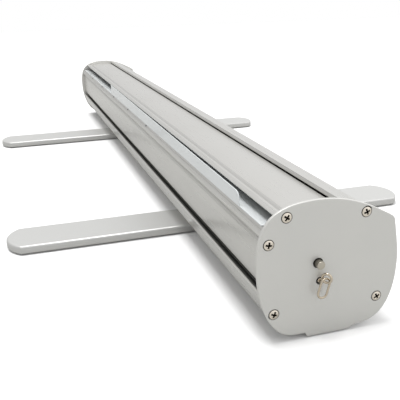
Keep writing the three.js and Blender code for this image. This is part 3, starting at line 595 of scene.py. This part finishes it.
for name, node, side, r, length in [
    ("stub_lock", "axle_stub", 1, 2.9, plate_thick + 1.5 + 22),
    ("shaft_spring", "spring_shaft", -1, 3.0, 300.0),
]:
    profile = [(0, stub_reach), (r - 0.55, stub_reach), (r - 0.2, stub_reach - 0.12),
               (r, stub_reach - 0.5), (r, 0), (r, -2.3), (r + 2.5, -2.3), (r + 2.5, -3.3),
               (r, -3.3), (r, -length), (0, -length)]
    body = turned(profile, roller_y, roller_z, middle + side * half, side, 64)
    # Painted shade: the side is darkened from the chamfer down into the hole.
    grime = np.repeat([0, 0, 0.05, 0.5, 0.85] + [0.6] * 6, 64)
    axle = piece(name, [skin_of(body, close_v=True)], turned_steel, grime=[grime])
    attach(axle, "base")
    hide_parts(node)

# ---- leader film -----------------------------------------------------------------------------
# The banner ends in a clear-coated white polyester film, half a millimetre thick. It comes off the
# roll, passes over the front lip, and a wide tab of it stands out of the slot to be gripped.

film_thick = 0.5
wrap_radius = 21.5
film_start, film_stop = 7 - half, half - plate_thick - 4
tab_from, tab_to = 305 - half, 815 - half
tab_high_far, tab_high_near, tab_corner = 12.4, 10.0, 7.0
bend_y, bend_z = -46.09, 83.42

# White polyester film: smooth and glossy with a cool white body, and slightly wavy over its length,
# which breaks the reflections up.
polyester, tree = new_finish("white_polyester_film")
place = add(tree, "ShaderNodeTexCoord").outputs["Object"]
swell = add(tree, "ShaderNodeTexNoise", {"Vector": place, "Scale": 18.0, "Detail": 1.0})  # 55 mm
shade = add(tree, "ShaderNodeMix", {"Factor": swell.outputs["Fac"], "A": linear("dde1e2"),
                                    "B": linear("e6e9ea")}, data_type="RGBA")
bumps = add(tree, "ShaderNodeBump", {"Height": swell.outputs["Fac"], "Strength": 0.25,
                                     "Distance": 0.004})
skin = add(tree, "ShaderNodeBsdfPrincipled", {
    "Base Color": shade.outputs["Result"], "Roughness": 0.2, "IOR": 1.57,
    "Normal": bumps.outputs["Normal"],
})
add(tree, "ShaderNodeOutputMaterial", {"Surface": skin.outputs["BSDF"]})

smooth_copy("leader_wrap", "rolled_banner", polyester, "roller")

reach = np.array([bend_y - roller_y, bend_z - roller_z])
film_radius = wrap_radius + 0.3 + film_thick / 2
lean = math.atan2(reach[1], reach[0]) - math.acos(film_radius / np.linalg.norm(reach))
leave = np.array([roller_y + film_radius * math.cos(lean), roller_z + film_radius * math.sin(lean)])


def strip(x, line):
    """A film between stations along X and a line in (y, z): its two faces lie half the thickness to
    either side of the line, and narrow bands close the four edges."""
    way = np.gradient(line, axis=0)
    across = np.stack([way[:, 1], -way[:, 0]], 1) / np.linalg.norm(way, axis=1)[:, None]
    sides = [line + across * film_thick / 2, line - across * film_thick / 2]
    faces = [along_x(np.broadcast_to(s[:, None], (len(line), len(x), 2)), x) for s in sides]
    edges = [np.stack([faces[0][k], faces[1][k]]) for k in (0, -1)]
    edges += [np.stack([faces[0][:, k], faces[1][:, k]]) for k in (0, -1)]
    return [skin_of(grid) for grid in faces + edges]


span_x = middle + np.linspace(film_start, film_stop, 160)
t = np.linspace(0, 1, 20)[:, None]
span_line = leave + (np.array([bend_y, bend_z]) - leave) * t
span_line[:, 1] -= 0.25 * np.sin(math.pi * t[:, 0])  # the free span sags a little
tab_x = middle + np.concatenate([
    np.linspace(tab_from, tab_to - tab_corner, 120), tab_to - tab_corner * np.linspace(1, 0, 12)[1:] ** 1.6,
])
share = np.clip((tab_x - middle - tab_from) / (tab_to - tab_from), 0, 1)
tab_top = bend_z + tab_high_far + (tab_high_near - tab_high_far) * share
fall = np.clip(1 - (middle + tab_to - tab_x) / tab_corner, 0, 1)
tab_top -= tab_corner * 0.6 * (1 - np.sqrt(np.maximum(1 - fall ** 2, 0)))
rows = np.linspace(0, 1, 40)[:, None]
tab_z = (bend_z - 0.2) + (tab_top - bend_z + 0.2) * rows
faces = [np.stack([np.broadcast_to(tab_x, tab_z.shape), np.full(tab_z.shape, bend_y + s * film_thick / 2),
                   tab_z], -1) for s in (-1, 1)]
edges = [np.stack([faces[0][k], faces[1][k]]) for k in (0, -1)]
edges += [np.stack([faces[0][:, k], faces[1][:, k]]) for k in (0, -1)]
film = piece("leader", strip(span_x, span_line) + [skin_of(grid) for grid in faces + edges], polyester)
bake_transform(film)
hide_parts("leader_span", "leader_tab")

# ---- slot glide ------------------------------------------------------------------------------
# A narrow strip in the front lip lets the film run without a scratch; small dark rivets hold it.

glide_width, glide_thick, glide_gap = 2.2, 1.2, 0.3
glide_from = front_lip + 0.1
glide = np.vstack([
    follow(glide_from, glide_from + glide_width, rim_proud + glide_gap, 12),
    follow(glide_from + glide_width, glide_from, rim_proud + glide_gap + glide_thick, 12),
])
slide = piece("glide", drawn(eased(glide, 0.3), -stop_in, stop_in), satin_anodised, sharp=28)
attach(slide, "base")
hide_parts("slot_glide")

rivet_radius, rivet_height = 1.0, 0.5
rivet_first, rivet_pitch, rivet_count = 330, 103, 5  # the first is measured from the lock end
seat = follow(front_lip + 0.4 * glide_width, front_lip + 0.4 * glide_width + 0.5, rim_proud + 0.2, 2)
along = (seat[1] - seat[0]) / np.linalg.norm(seat[1] - seat[0])
outward = np.array([-along[1], along[0]])
for i in range(rivet_count):
    turn = (np.arange(24) * math.pi / 12)[None, :]
    bow = np.linspace(0, math.pi / 2, 8)[:, None]
    r = np.vstack([rivet_radius * np.maximum(np.sin(bow), 1e-4), [[rivet_radius], [1e-4]]])
    h = np.vstack([rivet_height * np.cos(bow), [[-0.05], [-0.05]]])
    x = middle + half - rivet_first - rivet_pitch * i + r * np.cos(turn)
    y = seat[0, 0] + along[0] * r * np.sin(turn) + outward[0] * h
    z = seat[0, 1] + along[1] * r * np.sin(turn) + outward[1] * h
    rivet = piece(f"rivet_{i + 1}", [skin_of(np.stack([x, y, z], -1), close_v=True)], dark_steel)
    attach(rivet, "base")
    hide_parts(f"glide_rivet_{i + 1}")

# ---- lock pin and pull ring ------------------------------------------------------------------
# The pin holds the roller while the stand is packed. It is bent from nickel-plated steel wire into an
# eye outside the plate, and an oval ring hangs in the eye.

eye_radius, eye_wire = 3.1, 0.85
eye = np.array([middle + half + 5.0, pin_y + 2.2, pin_z + 3.6])
ring_wire, ring_radius, ring_straight, ring_lean = 0.75, 3.2, 7.4, math.radians(15)


def wire(path, radius, sides=20, closed=False, up=(0.0, 0.0, 1.0)):
    """Round wire along a path: at each point a circle stands square to the path, with its first
    radius square to the up direction."""
    path = np.asarray(path, float)
    if closed:
        way = np.roll(path, -1, 0) - np.roll(path, 1, 0)
    else:
        way = np.gradient(path, axis=0)
    way /= np.linalg.norm(way, axis=1)[:, None]
    first = np.cross(way, np.asarray(up, float))
    first /= np.linalg.norm(first, axis=1)[:, None]
    second = np.cross(way, first)
    turn = np.arange(sides) * 2 * math.pi / sides
    radius = np.broadcast_to(np.reshape(radius, (-1, 1, 1)), (len(path), 1, 1))
    grid = path[:, None] + radius * (first[:, None] * np.cos(turn)[None, :, None]
                                     + second[:, None] * np.sin(turn)[None, :, None])
    return skin_of(grid, close_u=closed, close_v=True)


# Nickel-plated wire: drawn wire keeps a mirror-like skin, so it looks brighter and darker in turns,
# with a bronze cast and hairline scratches 0.3 mm apart.
bright_wire, tree = new_finish("nickel_plated_wire")
place = add(tree, "ShaderNodeTexCoord").outputs["Object"]
scratch = add(tree, "ShaderNodeTexNoise", {"Vector": place, "Scale": 3000.0, "Detail": 4.0})
tint = add(tree, "ShaderNodeMix", {"Factor": scratch.outputs["Fac"], "A": linear("b9ab97"),
                                   "B": linear("ddd2c0")}, data_type="RGBA")
gloss = add(tree, "ShaderNodeMapRange", {"Value": scratch.outputs["Fac"], "To Min": 0.1, "To Max": 0.24})
skin = add(tree, "ShaderNodeBsdfPrincipled", {
    "Base Color": tint.outputs["Result"], "Metallic": 1.0, "Roughness": gloss.outputs["Result"],
})
add(tree, "ShaderNodeOutputMaterial", {"Surface": skin.outputs["BSDF"]})

diagonal = np.array([1.0, 1.0, 0.0]) / math.sqrt(2)
foot_of_eye = eye - diagonal * eye_radius
neck = np.array(bezier([
    (middle + half - 0.6, pin_y, pin_z), (middle + half + 1.2, pin_y, pin_z),
    (foot_of_eye[0], foot_of_eye[1], pin_z + 0.6), (foot_of_eye[0], foot_of_eye[1], eye[2] + 0.3),
], 30))
turn = np.arange(72) * 2 * math.pi / 72
eye_path = eye + eye_radius * (diagonal * np.cos(turn)[:, None] + [0, 0, 1] * np.sin(turn)[:, None])
pin_end = middle + half - plate_thick - 15
pin_body = turned([(0, 0), (0.9, 0), (1.5, 0.8), (1.5, half + middle - pin_end - 0.3),
                   (1.2, half + middle - pin_end), (0, half + middle - pin_end)],
                  pin_y, pin_z, pin_end, 1, 40)
pin = piece("pin_of_lock", [
    skin_of(pin_body, close_v=True), wire(neck, eye_wire, up=(1, -1, 0)),
    wire(eye_path, eye_wire, closed=True, up=(1, -1, 0)),
], bright_wire)
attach(pin, "pin")
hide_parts("lock_pin")

turn = np.linspace(0, math.pi, 40)
arc = np.stack([ring_radius * np.cos(turn), ring_radius * np.sin(turn)], 1)
oval = np.vstack([arc, -arc + [0, -ring_straight]]) - [0, ring_radius]
oval = oval @ np.array([[math.cos(ring_lean), -math.sin(ring_lean)],
                        [math.sin(ring_lean), math.cos(ring_lean)]])
ring_top = eye[2] - eye_radius + eye_wire + ring_wire + 1.2
ring_path = np.stack([np.full(len(oval), eye[0] - 0.3), oval[:, 0] + eye[1] + 0.2,
                      oval[:, 1] + ring_top], 1)
ring = piece("ring_of_pin", [wire(ring_path, ring_wire, closed=True, up=(1, 0, 0))], bright_wire)
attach(ring, "ring")
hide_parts("pull_ring")

# ---- feet ------------------------------------------------------------------------------------
# Two flat steel feet with rounded ends and edges, powder coated silver. Each turns on a bolt under
# the cassette and stands on two glued rubber pads.

foot_half, foot_wide, foot_low, foot_high, foot_round, foot_end = 205.0, 24.0, 0.8, 8.8, 2.0, 30.0
pivots = {"lock": 200.0, "spring": -218.0}

# Silver powder coat: baked on thick enough to soften the edges, so it looks an even pale silver with
# an orange-peel ripple about 1.5 mm across.
powder, tree = new_finish("silver_powder_coat")
place = add(tree, "ShaderNodeTexCoord").outputs["Object"]
peel = add(tree, "ShaderNodeTexNoise", {"Vector": place, "Scale": 650.0, "Detail": 2.0})
fleck = add(tree, "ShaderNodeTexNoise", {"Vector": place, "Scale": 3000.0, "Detail": 2.0})
shade = add(tree, "ShaderNodeMix", {"Factor": fleck.outputs["Fac"], "A": linear("c4c4c2"),
                                    "B": linear("cfcfcd")}, data_type="RGBA")
gloss = add(tree, "ShaderNodeMapRange", {"Value": fleck.outputs["Fac"], "To Min": 0.32, "To Max": 0.46})
bumps = add(tree, "ShaderNodeBump", {"Height": peel.outputs["Fac"], "Strength": 0.12,
                                     "Distance": 0.0001})
skin = add(tree, "ShaderNodeBsdfPrincipled", {
    "Base Color": shade.outputs["Result"], "Metallic": 0.5, "Roughness": gloss.outputs["Result"],
    "Normal": bumps.outputs["Normal"],
})
add(tree, "ShaderNodeOutputMaterial", {"Surface": skin.outputs["BSDF"]})

# Black rubber: die-cut sheet, dull and faintly dusty in patches of 5 mm.
rubber, tree = new_finish("black_rubber")
place = add(tree, "ShaderNodeTexCoord").outputs["Object"]
dust_and_shade = add(tree, "ShaderNodeTexNoise", {"Vector": place, "Scale": 200.0, "Detail": 5.0})
shade = add(tree, "ShaderNodeMix", {"Factor": dust_and_shade.outputs["Fac"], "A": linear("141415"),
                                    "B": linear("29292a")}, data_type="RGBA")
skin = add(tree, "ShaderNodeBsdfPrincipled", {
    "Base Color": shade.outputs["Result"], "Roughness": 0.88, "IOR": 1.5,
})
add(tree, "ShaderNodeOutputMaterial", {"Surface": skin.outputs["BSDF"]})


def upright(loop, z):
    """An outline in (x, y) as points in space at these heights."""
    loop = np.asarray(loop, float)
    return np.concatenate([loop, np.broadcast_to(z, loop.shape[:-1])[..., None]], -1)


def disc(x, y, rows, sides=64):
    """A turned piece on an upright axis: each (radius, height) is carried round the axis."""
    turn = np.arange(sides) * 2 * math.pi / sides
    rows = np.asarray(rows, float)
    radius = np.maximum(rows[:, :1], 1e-4)
    return np.stack([x + radius * np.cos(turn), y - radius * np.sin(turn),
                     np.broadcast_to(rows[:, 1:], (len(rows), sides))], -1)


lean = math.asin(foot_wide / foot_end)
sweep = np.linspace(-lean, lean, 40)
tip = np.stack([foot_end * np.sin(sweep), foot_half - foot_end + foot_end * np.cos(sweep)], 1)
foot_outline = np.vstack([tip, -tip])  # clockwise from the front left of the far tip
bend = np.linspace(0, math.pi / 2, 8)
round_in, round_down = foot_round * (1 - np.sin(bend)), foot_round * (1 - np.cos(bend))
foot_rows = np.vstack([
    [[foot_round + 1.2, foot_high]],
    np.stack([round_in, foot_high - round_down], 1),
    np.stack([round_in, foot_low + round_down], 1)[::-1],
    [[foot_round + 1.2, foot_low]],
])
for end, x in pivots.items():
    body = {"lock": "near_foot", "spring": "far_foot"}[end]
    base = foot_outline + [middle + x, 0]
    edge = np.stack([upright(moved_in(base, inset), z) for inset, z in foot_rows])
    hole = disc(middle + x, 0, [(4.15, foot_high), (4.15, 5.1), (9.0, 5.1), (9.0, foot_low + 0.3),
                                (9.3, foot_low)])
    surfaces = [skin_of(edge, close_v=True), skin_of(hole, close_v=True),
                flat_of(edge[0], hole[0]), flat_of(edge[-1], hole[-1])]
    leg = piece(f"foot_of_{end}_end", surfaces, powder)
    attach(leg, body)
    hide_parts(f"foot_{end}")
    for side, spot in (("front", -179.0), ("rear", 179.0)):
        pad = piece(f"pad_{end}_{side}", [skin_of(disc(middle + x, spot, [
            (0, 0), (12.4, 0), (12.85, 0.08), (13, 0.25), (13, 0.7), (0, 0.7),
        ]), close_v=True)], rubber)
        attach(pad, body)
        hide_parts(f"foot_pad_{end}_{side}")

# ---- pivots ----------------------------------------------------------------------------------
# A black button-head bolt with a hexagon socket holds each foot; an acetal washer keeps the foot off
# the cassette, and a nut inside takes the thread.

bolt_low, bolt_seat, bolt_top = 1.8, 4.8, 17.9


def socket_head(x):
    """The underside of the bolt over radius and angle: a low dome less a hexagonal pocket, whose
    flats lie where the radius times the cosine of the angle from each flat's middle is 2.5 mm."""
    radius = np.maximum(np.linspace(0, 7.3, 60), 1e-4)[:, None]
    turn = (np.arange(96) * 2 * math.pi / 96)[None, :]
    flat = radius * np.cos((turn + math.pi / 6) % (math.pi / 3) - math.pi / 6)
    pocket = np.clip((2.6 - flat) / 0.15, 0, 1)
    height = bolt_low + 0.55 * (radius / 7.3) ** 2 + 1.7 * pocket
    return np.stack([middle + x + radius * np.cos(turn), radius * np.sin(turn), height], -1)


for end, x in pivots.items():
    head = socket_head(x)
    rest = disc(middle + x, 0, [(7.3, bolt_low + 0.55), (7.8, bolt_low + 0.75), (8, bolt_low + 1.2),
                                (8, bolt_seat), (4, bolt_seat), (4, bolt_top - 0.5), (3.5, bolt_top),
                                (0, bolt_top)], 96)
    bolt = piece(f"bolt_{end}", [skin_of(head, close_v=True), skin_of(rest, close_v=True)], dark_steel)
    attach(bolt, "base")
    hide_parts(f"pivot_bolt_{end}")
    smooth_copy(f"pivot_washer_{end}", f"washer_{end}", acetal, "base")
    smooth_copy(f"pivot_nut_{end}", f"nut_{end}", dark_steel, "base")

# ---- pole socket -----------------------------------------------------------------------------
# A moulded block screwed to the rear wall takes the foot of the support pole.

smooth_copy("pole_socket", "socket_for_pole", abs_black, "base", round_off=0.7)
for i in (1, 2):
    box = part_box(f"socket_screw_{i}")
    x, z = 500 * (box[0].x + box[1].x), 500 * (box[0].z + box[1].z)
    head_y = 1000 * box[1].y
    share = np.linspace(0, 1, 36)[:, None]
    turn = (np.arange(96) * 2 * math.pi / 96)[None, :]
    radius = np.maximum(3.4 * share, 1e-4)
    recess = cross_recess(radius, turn + 0.4 * i)
    height = -1.6 * share ** 3 - recess * 1.2
    head = np.stack([x + radius * np.cos(turn), head_y + height, z + radius * np.sin(turn)], -1)
    rows = np.array([(3.4, -1.6), (3.4, -2.0), (1.5, -2.0), (1.5, -13.2), (0.6, -14), (0, -14)])
    radius = np.maximum(rows[:, :1], 1e-4)
    rest = np.stack([x + radius * np.cos(turn), np.broadcast_to(head_y + rows[:, 1:], (6, 96)),
                     z + radius * np.sin(turn)], -1)
    # The cross recess carries painted shade.
    screw = piece(f"screw_of_socket_{i}", [skin_of(head, close_v=True), skin_of(rest, close_v=True)],
                  nickel_plate, sharp=40, grime=[recess.ravel(), np.zeros(rest[..., 0].size)])
    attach(screw, "base")
    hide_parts(f"socket_screw_{i}")

# ---- floor, light and camera -----------------------------------------------------------------
# A white table under a large overhead soft box, in a pale room that is darker near the floor.

table = bpy.data.meshes.new("table")
table.from_pydata([(-3, -3, 0), (3, -3, 0), (3, 3, 0), (-3, 3, 0)], [], [(0, 1, 2, 3)])
white, tree = new_finish("white_table")
seen = add(tree, "ShaderNodeLightPath")
shade = add(tree, "ShaderNodeMix", {"Factor": seen.outputs["Is Camera Ray"], "A": linear("b4b4b2"),
                                    "B": linear("f4f4f4")}, data_type="RGBA")
skin = add(tree, "ShaderNodeBsdfPrincipled", {"Base Color": shade.outputs["Result"], "Roughness": 0.8})
add(tree, "ShaderNodeOutputMaterial", {"Surface": skin.outputs["BSDF"]})
table.materials.append(white)
floor = bpy.data.objects.new("table", table)
bpy.context.scene.collection.objects.link(floor)

for name, place, aim, size, power in [
    ("overhead_box", (-0.1, -1.0, 6.0), (0, 0, 0), 1.9, 240.0),
    ("rear_box", (0.2, 2.2, 1.6), (0, 0, 0.05), 1.0, 4.0),
]:
    lamp = bpy.data.lights.new(name, "AREA")
    lamp.size, lamp.energy = size, power
    stand = bpy.data.objects.new(name, lamp)
    stand.location = place
    stand.rotation_euler = (Vector(aim) - Vector(place)).to_track_quat("-Z", "Y").to_euler()
    bpy.context.scene.collection.objects.link(stand)

room = bpy.data.worlds.new("room")
room.use_nodes = True
tree = room.node_tree
tree.nodes.clear()
way = add(tree, "ShaderNodeTexCoord").outputs["Generated"]
lean = add(tree, "ShaderNodeVectorMath", {0: way, 1: (0.12, 0.28, 0.3)}, operation="DOT_PRODUCT")
rise = add(tree, "ShaderNodeMapRange", {"Value": lean.outputs["Value"], "From Min": -0.42,
                                        "From Max": 0.43, "To Min": 0.3, "To Max": 1.15})
seen = add(tree, "ShaderNodeLightPath")
level = add(tree, "ShaderNodeMix", {"Factor": seen.outputs["Is Camera Ray"], "A": rise.outputs["Result"],
                                    "B": 1.0}, data_type="FLOAT")
glow = add(tree, "ShaderNodeBackground", {"Color": (1, 1, 1, 1), "Strength": level.outputs["Result"]})
add(tree, "ShaderNodeOutputWorld", {"Surface": glow.outputs["Background"]})
bpy.context.scene.world = room
bpy.context.scene.view_settings.view_transform = "Standard"

eye_of_camera = bpy.data.cameras.new("camera")
eye_of_camera.sensor_width, eye_of_camera.lens = 36.0, 55.28
eye_of_camera.shift_x, eye_of_camera.shift_y = 0.0055, -0.0278
camera = bpy.data.objects.new("camera", eye_of_camera)
camera.location = (0.7537, -0.1886, 0.2260)
camera.rotation_euler = [math.radians(a) for a in (71.866, 1.146, 72.620)]
bpy.context.scene.collection.objects.link(camera)
bpy.context.scene.camera = camera
